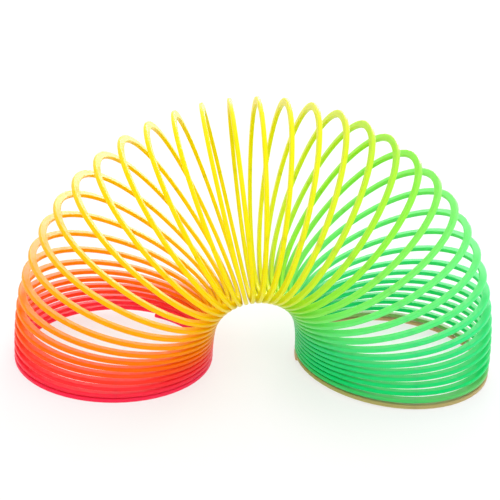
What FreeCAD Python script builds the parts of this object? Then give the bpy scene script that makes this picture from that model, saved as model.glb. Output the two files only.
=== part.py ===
import FreeCAD, Part
import math
import os

os.makedirs("parts", exist_ok=True)

# A long plastic coil standing as an arch on its two ends. One strand, divided at the
# inner side of every turn. +X runs along the arch, +Z up, and each turn leans in the XZ plane.

# ---- driving dimensions, mm ----
TURNS = 40                 # whole turns from the left foot to the right foot
RADIUS = 36.1              # coil axis to strand centre
STRAND_W = 2.85            # strand across the coil's radius
STRAND_T = 1.56            # strand along the coil's axis
CORNER = 0.5               # corner radius of the strand's section
LEG_LEAD = 1.73            # advance of the coil's inner side per turn, in the two legs
CROWN_LEAD = 1.92          # the same over the crown, where the coil hangs open
CUT = 0.05                 # running gap between two turns at their joint
LEAD_IN = 11 / 64          # part of a turn before the first cut, where the moulded end lies
FLAT = 43 / 64             # first and last part of a turn, flat on the table
SETTLE = 4.0               # turns over which the flat end fades into an even helix

# ---- how the arch is spread over the turns ----
LEFT_FAN = 0.12            # fan of a turn in the left leg, as a share of a crown turn's fan
RIGHT_FAN = 0.178          # the same in the right leg
LEFT_KNEE = 8.55           # turn where the left leg starts to bend over
LEFT_SPREAD = 1.23         # turns over which that happens
RIGHT_SPREAD = 1.27        # the same for the right leg, whose knee is solved for level feet
CROWN_EVEN = 0.202         # more fan at the haunches than at the crown, as a share
CROWN_LEAN = 0.0174        # more fan towards the right foot, as a share
FORWARD = 7.0              # how far the right foot stands in front of the left one, mm

STEPS = 64                 # table steps per turn
SECTIONS = 32              # strand sections per turn


def smooth(x):
    x = min(1.0, max(0.0, x))
    return x * x * (3 - 2 * x)


def bent(t, knee):
    """0 in the legs and 1 over the crown, at t turns from the left foot."""
    left = 1 / (1 + math.exp(-(t - LEFT_KNEE) / LEFT_SPREAD))
    right = 1 / (1 + math.exp((t - knee) / RIGHT_SPREAD))
    return left * right


def fan(t, knee):
    """Relative fan at t turns from the left foot."""
    u = (t - TURNS / 2) / (TURNS / 2)
    crown = 1 + CROWN_EVEN * (4 * u * u - 1) + CROWN_LEAN * u
    ends = smooth(t - 0.5) * smooth(TURNS - FLAT - t)
    leg = LEFT_FAN if t < TURNS / 2 else RIGHT_FAN
    return (leg + (crown - leg) * bent(t, knee)) * ends


def lift(s):
    """Leads climbed at s turns from a moulded end: flat at first, then an even helix."""
    level = math.floor(s) + smooth((s - math.floor(s) - FLAT) / (1 - FLAT))
    return s + (1 - smooth((s - 1) / SETTLE)) * (level - s)


def table(knee):
    """Rows of (turn, lean of the coil axis, x, y, z) along the coil's inner side."""
    first = -round(LEAD_IN * STEPS)
    turns = [i / STEPS for i in range(first, TURNS * STEPS + 1)]
    fans = [fan(t, knee) for t in turns]
    sums = [0.0]
    for a, b in zip(fans, fans[1:]):
        sums.append(sums[-1] + (a + b) / 2)
    leans = [math.pi * s / sums[-1] for s in sums]
    whole = TURNS + LEAD_IN
    climbs = [lift(t + LEAD_IN) if t < TURNS / 2 else whole - lift(TURNS - t) for t in turns]
    leads = [LEG_LEAD + (CROWN_LEAD - LEG_LEAD) * bent(t, knee) for t in turns]
    x = z = 0.0
    rows = [(turns[0], leans[0], x, FORWARD / 2, z)]
    for i in range(1, len(turns)):
        step = (climbs[i] - climbs[i - 1]) * (leads[i] + leads[i - 1]) / 4
        x += step * (math.sin(leans[i]) + math.sin(leans[i - 1]))
        z += step * (math.cos(leans[i]) + math.cos(leans[i - 1]))
        rows.append((turns[i], leans[i], x, FORWARD * (0.5 - leans[i] / math.pi), z))
    return rows


def level_knee():
    """Turn where the right leg starts, so that both feet stand at one height."""
    low, high = 0.55 * TURNS, 0.98 * TURNS
    side = table(low)[-1][4] > 0
    for _ in range(30):
        mid = (low + high) / 2
        if (table(mid)[-1][4] > 0) == side:
            low = mid
        else:
            high = mid
    return (low + high) / 2


ROWS = table(level_knee())


def middle_x():
    """Middle of the coil's reach along X, which becomes the origin."""
    out = [x + RADIUS * (math.cos(2 * math.pi * t) - 1) * math.cos(a) for t, a, x, y, z in ROWS]
    return (min(out) + max(out)) / 2


MIDDLE_X = middle_x()


def station(k, nudge=0.0):
    """Frame of the strand at table step k: centre, radial, axial. nudge in turns."""
    t, lean, x, y, z = ROWS[k + round(LEAD_IN * STEPS)]
    turn = 2 * math.pi * (t + nudge)
    inward = FreeCAD.Vector(math.cos(lean), 0, -math.sin(lean))
    axial = FreeCAD.Vector(math.sin(lean), 0, math.cos(lean))
    radial = inward * math.cos(turn) - FreeCAD.Vector(0, math.sin(turn), 0)
    centre = FreeCAD.Vector(x - MIDDLE_X, y, z + STRAND_T / 2) - inward * RADIUS + radial * RADIUS
    return centre, radial, axial


def section(k, nudge=0.0):
    """Rounded rectangle of the strand, as a closed wire."""
    centre, radial, axial = station(k, nudge)
    w, h, r = STRAND_W / 2, STRAND_T / 2, CORNER
    bend = r * (1 - math.sqrt(0.5))

    def at(a, b):
        return centre + radial * a + axial * b

    edges = []
    for sx, sy, flip in ((1, 1, False), (-1, 1, True), (-1, -1, False), (1, -1, True)):
        side, top = at(sx * w, sy * (h - r)), at(sx * (w - r), sy * h)
        mid = at(sx * (w - bend), sy * (h - bend))
        start, end = (top, side) if flip else (side, top)
        if edges:
            edges.append(Part.makeLine(edges[-1].Vertexes[-1].Point, start))
        else:
            origin = start
        edges.append(Part.Arc(start, mid, end).toShape())
    edges.append(Part.makeLine(edges[-1].Vertexes[-1].Point, origin))
    return Part.Wire(edges)


def loft(first, last, gap_first, gap_last):
    """Strand between two table steps, with half the running gap taken off a cut end."""
    nudge = CUT / 2 / (2 * math.pi * RADIUS)
    stride = STEPS // SECTIONS
    wires = []
    for k in range(first, last + 1, stride):
        away = nudge if k == first and gap_first else -nudge if k == last and gap_last else 0.0
        wires.append(section(k, away))
    return Part.makeLoft(wires, True, False)


def flat_end(first, last):
    """The part of a foot turn that lies flat: an exact arc of the strand."""
    centre, radial, axial = station(first)
    sweep = -360.0 * (last - first) / STEPS
    return Part.Face(section(first)).revolve(centre - radial * RADIUS, axial, sweep)


def turn(i):
    """Turn i, counted from 1 at the left foot."""
    first, last = (i - 1) * STEPS, i * STEPS
    if i == 1:
        low = flat_end(-round(LEAD_IN * STEPS), STEPS // 2)
        return low.fuse(loft(STEPS // 2, last, False, True)).removeSplitter()
    if i == TURNS:
        begin = last - round(FLAT * STEPS) + 1
        low = flat_end(begin, last)
        return loft(first, begin, True, False).fuse(low).removeSplitter()
    return loft(first, last, True, True)


for i in range(1, TURNS + 1):
    shape = turn(i)
    solid = shape.Solids[0]
    if len(shape.Solids) != 1 or not solid.isValid():
        raise RuntimeError("turn %d is not one valid solid" % i)
    solid.exportStep("parts/turn_%02d.step" % i)
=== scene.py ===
import math

import bpy
import numpy as np
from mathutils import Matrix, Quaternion, Vector


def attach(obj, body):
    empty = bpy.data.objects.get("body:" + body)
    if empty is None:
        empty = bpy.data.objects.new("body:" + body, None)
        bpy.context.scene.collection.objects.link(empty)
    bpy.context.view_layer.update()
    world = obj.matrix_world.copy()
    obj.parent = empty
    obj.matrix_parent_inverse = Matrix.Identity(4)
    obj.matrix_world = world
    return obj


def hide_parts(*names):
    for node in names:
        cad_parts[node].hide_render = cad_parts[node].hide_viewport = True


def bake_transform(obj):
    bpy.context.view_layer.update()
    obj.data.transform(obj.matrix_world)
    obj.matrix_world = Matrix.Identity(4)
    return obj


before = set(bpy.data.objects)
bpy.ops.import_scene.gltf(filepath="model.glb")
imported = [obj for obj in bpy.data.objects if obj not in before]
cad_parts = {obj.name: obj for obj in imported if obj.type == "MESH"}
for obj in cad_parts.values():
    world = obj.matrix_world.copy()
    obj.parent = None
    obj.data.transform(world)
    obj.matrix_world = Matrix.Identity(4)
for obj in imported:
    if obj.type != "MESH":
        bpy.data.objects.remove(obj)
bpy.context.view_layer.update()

# ---- the coil, mm: the same rule as the CAD source ----
TURNS = 40
RADIUS = 36.1
STRAND_W = 2.85
STRAND_T = 1.56
CORNER = 0.5
LEG_LEAD = 1.73
CROWN_LEAD = 1.92
LEAD_IN = 11 / 64
FLAT = 43 / 64
SETTLE = 4.0
LEFT_FAN = 0.12
RIGHT_FAN = 0.178
LEFT_KNEE = 8.55
LEFT_SPREAD = 1.23
RIGHT_SPREAD = 1.27
CROWN_EVEN = 0.202
CROWN_LEAN = 0.0174
FORWARD = 7.0
STEPS = 64
FIRST = -round(LEAD_IN * STEPS)
LAST = TURNS * STEPS
END_ROUND = 0.25           # rounding of the strand's two moulded ends
END_RINGS = 4              # rings round each of those edges
CORNER_POINTS = 5          # points round each corner of the strand's section
RING = 4 * CORNER_POINTS
MM = 0.001


def smooth(x):
    x = min(1.0, max(0.0, x))
    return x * x * (3 - 2 * x)


def bent(t, knee):
    """0 in the legs and 1 over the crown, at t turns from the left foot."""
    left = 1 / (1 + math.exp(-(t - LEFT_KNEE) / LEFT_SPREAD))
    right = 1 / (1 + math.exp((t - knee) / RIGHT_SPREAD))
    return left * right


def fan(t, knee):
    """Relative fan at t turns from the left foot."""
    u = (t - TURNS / 2) / (TURNS / 2)
    crown = 1 + CROWN_EVEN * (4 * u * u - 1) + CROWN_LEAN * u
    ends = smooth(t - 0.5) * smooth(TURNS - FLAT - t)
    leg = LEFT_FAN if t < TURNS / 2 else RIGHT_FAN
    return (leg + (crown - leg) * bent(t, knee)) * ends


def lift(s):
    """Leads climbed at s turns from a moulded end: flat at first, then an even helix."""
    level = math.floor(s) + smooth((s - math.floor(s) - FLAT) / (1 - FLAT))
    return s + (1 - smooth((s - 1) / SETTLE)) * (level - s)


def table(knee):
    """Rows of (turn, lean of the coil axis, x, y, z) along the coil's inner side."""
    turns = [i / STEPS for i in range(FIRST, LAST + 1)]
    fans = [fan(t, knee) for t in turns]
    sums = [0.0]
    for a, b in zip(fans, fans[1:]):
        sums.append(sums[-1] + (a + b) / 2)
    leans = [math.pi * s / sums[-1] for s in sums]
    whole = TURNS + LEAD_IN
    climbs = [lift(t + LEAD_IN) if t < TURNS / 2 else whole - lift(TURNS - t) for t in turns]
    leads = [LEG_LEAD + (CROWN_LEAD - LEG_LEAD) * bent(t, knee) for t in turns]
    x = z = 0.0
    rows = [(turns[0], leans[0], x, FORWARD / 2, z)]
    for i in range(1, len(turns)):
        step = (climbs[i] - climbs[i - 1]) * (leads[i] + leads[i - 1]) / 4
        x += step * (math.sin(leans[i]) + math.sin(leans[i - 1]))
        z += step * (math.cos(leans[i]) + math.cos(leans[i - 1]))
        rows.append((turns[i], leans[i], x, FORWARD * (0.5 - leans[i] / math.pi), z))
    return rows


def level_knee():
    """Turn where the right leg starts, so that both feet stand at one height."""
    low, high = 0.55 * TURNS, 0.98 * TURNS
    side = table(low)[-1][4] > 0
    for _ in range(30):
        mid = (low + high) / 2
        if (table(mid)[-1][4] > 0) == side:
            low = mid
        else:
            high = mid
    return (low + high) / 2


ROWS = np.array(table(level_knee()))
REACH = ROWS[:, 2] + RADIUS * (np.cos(2 * np.pi * ROWS[:, 0]) - 1) * np.cos(ROWS[:, 1])
MIDDLE_X = (REACH.min() + REACH.max()) / 2


def frames(k0, k1):
    """Strand frames from step k0 to k1: turn, centre, radial, axial and tangent."""
    t, lean, x, y, z = ROWS[k0 - FIRST:k1 - FIRST + 1].T
    zero, one = np.zeros_like(t), np.ones_like(t)
    inward = np.stack([np.cos(lean), zero, -np.sin(lean)], 1)
    axial = np.stack([np.sin(lean), zero, np.cos(lean)], 1)
    side = np.stack([zero, one, zero], 1)
    c, s = np.cos(2 * np.pi * t)[:, None], np.sin(2 * np.pi * t)[:, None]
    radial = inward * c - side * s
    tangent = -inward * s - side * c
    centre = np.stack([x - MIDDLE_X, y, z + STRAND_T / 2], 1) + (radial - inward) * RADIUS
    return t, centre, radial, axial, tangent


def outline(shrink=0.0):
    """Points and normals round the strand's section, in its radial and axial directions."""
    w, h, r = STRAND_W / 2, STRAND_T / 2, CORNER
    points, normals = [], []
    for quarter, (sx, sy) in enumerate(((1, 1), (-1, 1), (-1, -1), (1, -1))):
        for j in range(CORNER_POINTS):
            a = math.pi / 2 * (quarter + j / (CORNER_POINTS - 1))
            n = (math.cos(a), math.sin(a))
            points.append((sx * (w - r) + (r - shrink) * n[0], sy * (h - r) + (r - shrink) * n[1]))
            normals.append(n)
    return np.array(points), np.array(normals)


def strand(name, k0, k1):
    """One stretch of the strand as a smooth tube. A moulded end is rounded off and closed."""
    t, centre, radial, axial, tangent = frames(k0, k1)
    section, facing = outline()
    rings = []  # points, normals, turn, section coordinates
    for i in range(len(t)):
        rings.append((
            centre[i] + section[:, :1] * radial[i] + section[:, 1:] * axial[i],
            facing[:, :1] * radial[i] + facing[:, 1:] * axial[i], t[i], section))

    def rounded(i, out):
        """Rings that close the strand at frame i, whose free side faces out times the tangent."""
        made = []
        for j in range(1, END_RINGS + 1):
            a = math.pi / 2 * j / END_RINGS
            shape, _ = outline(END_ROUND * (1 - math.cos(a)))
            middle = centre[i] - out * tangent[i] * END_ROUND * (1 - math.sin(a))
            made.append((
                middle + shape[:, :1] * radial[i] + shape[:, 1:] * axial[i],
                (facing[:, :1] * radial[i] + facing[:, 1:] * axial[i]) * math.cos(a)
                + out * tangent[i] * math.sin(a), t[i], shape))
        return made

    if k0 == FIRST:
        base = (rings[0][0] + tangent[0] * END_ROUND, *rings[0][1:])
        rings = rounded(0, -1)[::-1] + [base] + rings[1:]
    if k1 == LAST:
        base = (rings[-1][0] - tangent[-1] * END_ROUND, *rings[-1][1:])
        rings = rings[:-1] + [base] + rounded(len(t) - 1, 1)

    points = np.concatenate([r[0] for r in rings]) * MM
    normals = np.concatenate([r[1] for r in rings])
    faces = []
    for i in range(len(rings) - 1):
        a, b = i * RING, (i + 1) * RING
        faces += [(a + j, a + (j + 1) % RING, b + (j + 1) % RING, b + j) for j in range(RING)]
    if k0 == FIRST:
        faces.append(tuple(reversed(range(RING))))
    if k1 == LAST:
        last = (len(rings) - 1) * RING
        faces.append(tuple(last + j for j in range(RING)))

    mesh = bpy.data.meshes.new(name)
    mesh.from_pydata([tuple(p) for p in points], [], faces)
    mesh.polygons.foreach_set("use_smooth", [True] * len(mesh.polygons))
    turns = np.concatenate([np.full(RING, r[2]) for r in rings])
    across = np.concatenate([r[3] for r in rings])
    along = mesh.attributes.new("turn", "FLOAT", "POINT")
    along.data.foreach_set("value", turns.astype(np.float32))
    grain = mesh.attributes.new("grain", "FLOAT_VECTOR", "POINT")
    arc = turns * 2 * math.pi * RADIUS
    grain.data.foreach_set("vector", np.column_stack([arc, across]).astype(np.float32).ravel())
    mesh.normals_split_custom_set_from_vertices([tuple(n) for n in normals])
    mesh.update()
    obj = bpy.data.objects.new(name, mesh)
    bpy.context.scene.collection.objects.link(obj)
    return obj


# ---- plastic, coloured along the strand ----
def srgb(r, g, b):
    """Linear colour of three 8 bit values."""
    linear = [c / 255 / 12.92 if c <= 10 else ((c / 255 + 0.055) / 1.055) ** 2.4 for c in (r, g, b)]
    return (*linear, 1.0)


RAINBOW = (                # turn, colour: the coil's colours in order from the left foot
    (0, srgb(245, 40, 80)),        # crimson
    (3, srgb(250, 50, 45)),        # red
    (5, srgb(250, 95, 0)),         # orange red
    (8, srgb(245, 145, 0)),        # orange
    (11, srgb(245, 180, 0)),       # amber
    (15, srgb(240, 205, 0)),       # golden yellow
    (20, srgb(225, 220, 10)),      # yellow
    (22, srgb(215, 225, 35)),      # lemon
    (25, srgb(145, 225, 60)),      # lime
    (28, srgb(110, 225, 120)),     # light green
    (32, srgb(50, 210, 125)),      # spring green
    (38, srgb(0, 200, 105)),       # green
    (39, srgb(150, 155, 90)),      # olive, the last turn
    (39.6, srgb(190, 155, 115)),   # tan, its end
)


def plastic():
    mat = bpy.data.materials.new("rainbow_plastic")
    mat.use_nodes = True
    tree = mat.node_tree
    new, link = tree.nodes.new, tree.links.new
    shader = tree.nodes["Principled BSDF"]
    turn = new("ShaderNodeAttribute")
    turn.attribute_name = "turn"
    grain = new("ShaderNodeAttribute")
    grain.attribute_name = "grain"

    place = new("ShaderNodeMapRange")
    place.inputs["From Max"].default_value = TURNS
    link(turn.outputs["Fac"], place.inputs["Value"])
    ramp = new("ShaderNodeValToRGB")
    stops = ramp.color_ramp.elements
    while len(stops) < len(RAINBOW):
        stops.new(0.5)
    for stop, (at, colour) in zip(stops, RAINBOW):
        stop.position = at / TURNS
        stop.color = colour
    link(place.outputs["Result"], ramp.inputs["Fac"])

    flow = new("ShaderNodeMapping")  # streaks run along the strand
    flow.inputs["Scale"].default_value = (0.05, 1.1, 1.1)
    link(grain.outputs["Vector"], flow.inputs["Vector"])
    streak = new("ShaderNodeTexNoise")
    streak.inputs["Scale"].default_value = 1.0
    streak.inputs["Detail"].default_value = 3.0
    link(flow.outputs["Vector"], streak.inputs["Vector"])
    shade = new("ShaderNodeMapRange")
    shade.inputs["From Min"].default_value = 0.3
    shade.inputs["From Max"].default_value = 0.7
    shade.inputs["To Min"].default_value = 0.97
    shade.inputs["To Max"].default_value = 1.02
    link(streak.outputs["Fac"], shade.inputs["Value"])
    tone = new("ShaderNodeHueSaturation")
    link(shade.outputs["Result"], tone.inputs["Value"])
    link(ramp.outputs["Color"], tone.inputs["Color"])
    link(tone.outputs["Color"], shader.inputs["Base Color"])

    shader.inputs["Roughness"].default_value = 0.3
    shader.inputs["IOR"].default_value = 1.5
    shader.inputs["Specular IOR Level"].default_value = 0.1
    shader.inputs["Subsurface Weight"].default_value = 0.75
    shader.inputs["Subsurface Radius"].default_value = (1.0, 1.0, 0.6)
    shader.inputs["Subsurface Scale"].default_value = 0.003
    return mat


PLASTIC = plastic()

# ---- the strand: the outer half of each turn is stiff and rides on that turn, the inner half between two turns is a separate piece, not attached to either ----
half = STEPS // 4
for i in range(1, TURNS + 1):
    begin = FIRST if i == 1 else (i - 1) * STEPS + half
    end = LAST if i == TURNS else i * STEPS - half
    piece = strand("strand_outer_%02d" % i, begin, end)
    piece.data.materials.append(PLASTIC)
    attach(piece, "turn_%02d" % i)
    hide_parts("turn_%02d" % i)
    if i == TURNS:
        break
    piece = strand("strand_inner_%02d" % i, i * STEPS - half, i * STEPS + half)
    piece.data.materials.append(PLASTIC)
    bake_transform(piece)


# ---- floor, light and camera, in metres ----
FLOOR_SIZE = 8.0
AIM = Vector((0, 0, 0.04))             # where the lights point
LIGHTS = (                             # name, place, diameter, power in watts
    ("light_top", (0.1, 0.3, 0.9), 0.9, 1.2),
    ("light_back", (0.2, 1.15, 0.5), 0.7, 5.5),
    ("light_low", (0.6, 1.1, 0.24), 0.45, 5.0),
    ("light_front", (0.2, -0.7, 0.8), 0.35, 1.5),
)
SKY = 1.05                             # strength of the even white light all round
AZIMUTH = math.radians(-8.18)          # camera's direction, from straight in front
ELEVATION = math.radians(22.48)
ROLL = math.radians(3.62)
DISTANCE = 0.4055
TARGET = Vector((-0.00403, 0, 0.04465))
SENSOR = 36                            # mm
LENS = 78.84                           # mm


def floor():
    bpy.ops.mesh.primitive_plane_add(size=FLOOR_SIZE, location=(0, 0, 0))
    obj = bpy.context.object
    obj.name = "floor"
    mat = bpy.data.materials.new("floor_white")
    mat.use_nodes = True
    shader = mat.node_tree.nodes["Principled BSDF"]
    shader.inputs["Base Color"].default_value = (0.3, 0.3, 0.3, 1)
    shader.inputs["Roughness"].default_value = 0.9
    shader.inputs["Specular IOR Level"].default_value = 0.1
    shader.inputs["Emission Color"].default_value = (1, 1, 1, 1)
    shader.inputs["Emission Strength"].default_value = 0.66
    obj.data.materials.append(mat)


def area(name, place, size, power):
    """Round lamp that lights the object but isn't itself seen."""
    data = bpy.data.lights.new(name, "AREA")
    data.shape = "DISK"
    data.size = size
    data.energy = power
    obj = bpy.data.objects.new(name, data)
    obj.location = place
    aim = AIM - Vector(place)
    obj.rotation_mode = "QUATERNION"
    obj.rotation_quaternion = aim.to_track_quat("-Z", "Y")
    obj.visible_camera = False
    bpy.context.scene.collection.objects.link(obj)


def sky():
    world = bpy.data.worlds.new("studio")
    bpy.context.scene.world = world
    world.use_nodes = True
    nodes = world.node_tree.nodes
    back = nodes.get("Background") or nodes.new("ShaderNodeBackground")
    back.inputs["Color"].default_value = (1, 1, 1, 1)
    back.inputs["Strength"].default_value = SKY


def camera():
    data = bpy.data.cameras.new("camera")
    obj = bpy.data.objects.new("camera", data)
    bpy.context.scene.collection.objects.link(obj)
    bpy.context.scene.camera = obj
    flat = math.cos(ELEVATION)
    away = Vector((math.sin(AZIMUTH) * flat, -math.cos(AZIMUTH) * flat, math.sin(ELEVATION)))
    obj.location = TARGET + away * DISTANCE
    obj.rotation_mode = "QUATERNION"
    obj.rotation_quaternion = away.to_track_quat("Z", "Y") @ Quaternion((0, 0, 1), ROLL)
    data.sensor_width = SENSOR
    data.lens = LENS
    data.clip_start = 0.01
    data.clip_end = 20


floor()
for lamp in LIGHTS:
    area(*lamp)
sky()
bpy.context.scene.view_settings.view_transform = "Standard"
camera()
